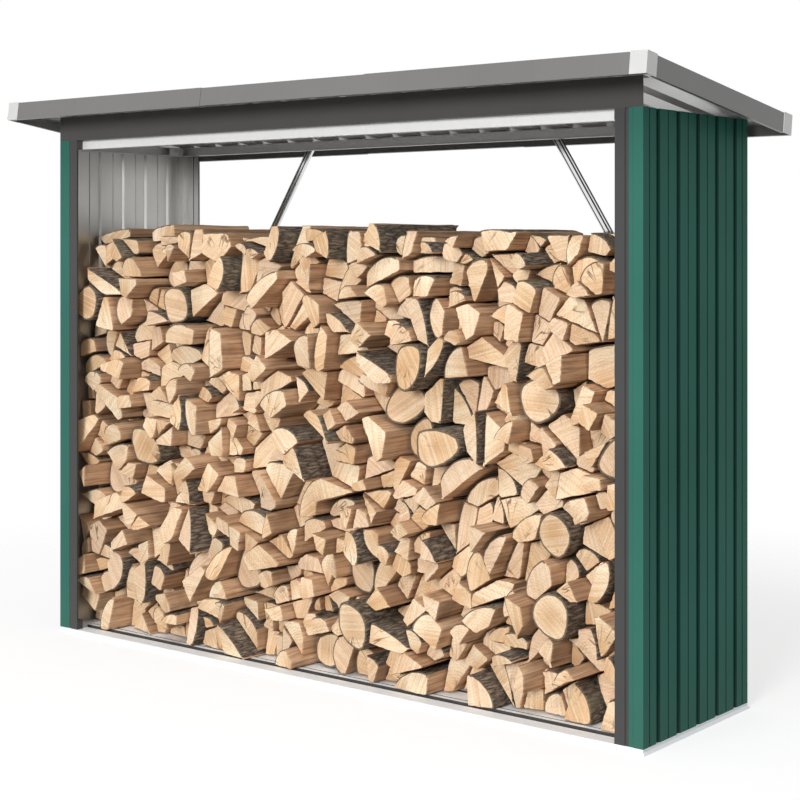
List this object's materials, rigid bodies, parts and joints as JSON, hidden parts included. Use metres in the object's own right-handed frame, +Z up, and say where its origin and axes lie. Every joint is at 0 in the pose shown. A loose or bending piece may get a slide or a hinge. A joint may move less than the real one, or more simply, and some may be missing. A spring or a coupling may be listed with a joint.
{
  "type": "log store",
  "caption": "Open-fronted steel log store with ribbed side walls, a mono-pitch ribbed roof with trim and corner caps, a galvanised base and a stacked bay of split firewood.",
  "frame": {"origin": "on the ground under the middle of the whole object, roof overhangs included", "axes": "+X along the front to the right, +Y from front to back, +Z up"},
  "size_m": [2.233, 0.7384, 1.6224],
  "materials": {
    "green_paint": "semi-gloss green paint outside, bare galvanised inside",
    "charcoal_paint": "satin charcoal paint",
    "galvanised": "bright galvanised steel",
    "cap_plastic": "pale matte plastic",
    "firewood": "split and sawn hardwood with bark"
  },
  "bodies": {
    "root": {"base_back_rail": "galvanised", "base_front_rail": "galvanised", "base_left_rail": "galvanised", "base_right_rail": "galvanised", "brace_back_left": "galvanised", "brace_back_right": "galvanised", "cap_back_left": "cap_plastic", "cap_back_right": "cap_plastic", "cap_front_left": "cap_plastic", "cap_front_right": "cap_plastic", "firewood_course_01": "firewood", "firewood_course_02": "firewood", "firewood_course_03": "firewood", "firewood_course_04": "firewood", "firewood_course_05": "firewood", "firewood_course_06": "firewood", "firewood_course_07": "firewood", "firewood_course_08": "firewood", "firewood_course_09": "firewood", "firewood_course_10": "firewood", "floor_plank_1": "galvanised", "floor_plank_2": "galvanised", "floor_plank_3": "galvanised", "front_header": "charcoal_paint", "post_back_brackets": "charcoal_paint", "post_back_left": "charcoal_paint", "post_back_right": "charcoal_paint", "post_front_brackets": "charcoal_paint", "post_front_left": "charcoal_paint", "post_front_right": "charcoal_paint", "roof_sheet_left": "charcoal_paint", "roof_sheet_middle": "charcoal_paint", "roof_sheet_right": "charcoal_paint", "top_back_rail": "galvanised", "top_front_rail": "galvanised", "top_left_rail": "galvanised", "top_right_rail": "galvanised", "trim_back_left": "charcoal_paint", "trim_back_middle": "charcoal_paint", "trim_back_right": "charcoal_paint", "trim_front_left": "charcoal_paint", "trim_front_middle": "charcoal_paint", "trim_front_right": "charcoal_paint", "trim_left": "charcoal_paint", "trim_right": "charcoal_paint", "wall_left": "green_paint", "wall_right": "green_paint"}
  },
  "joints": []
}
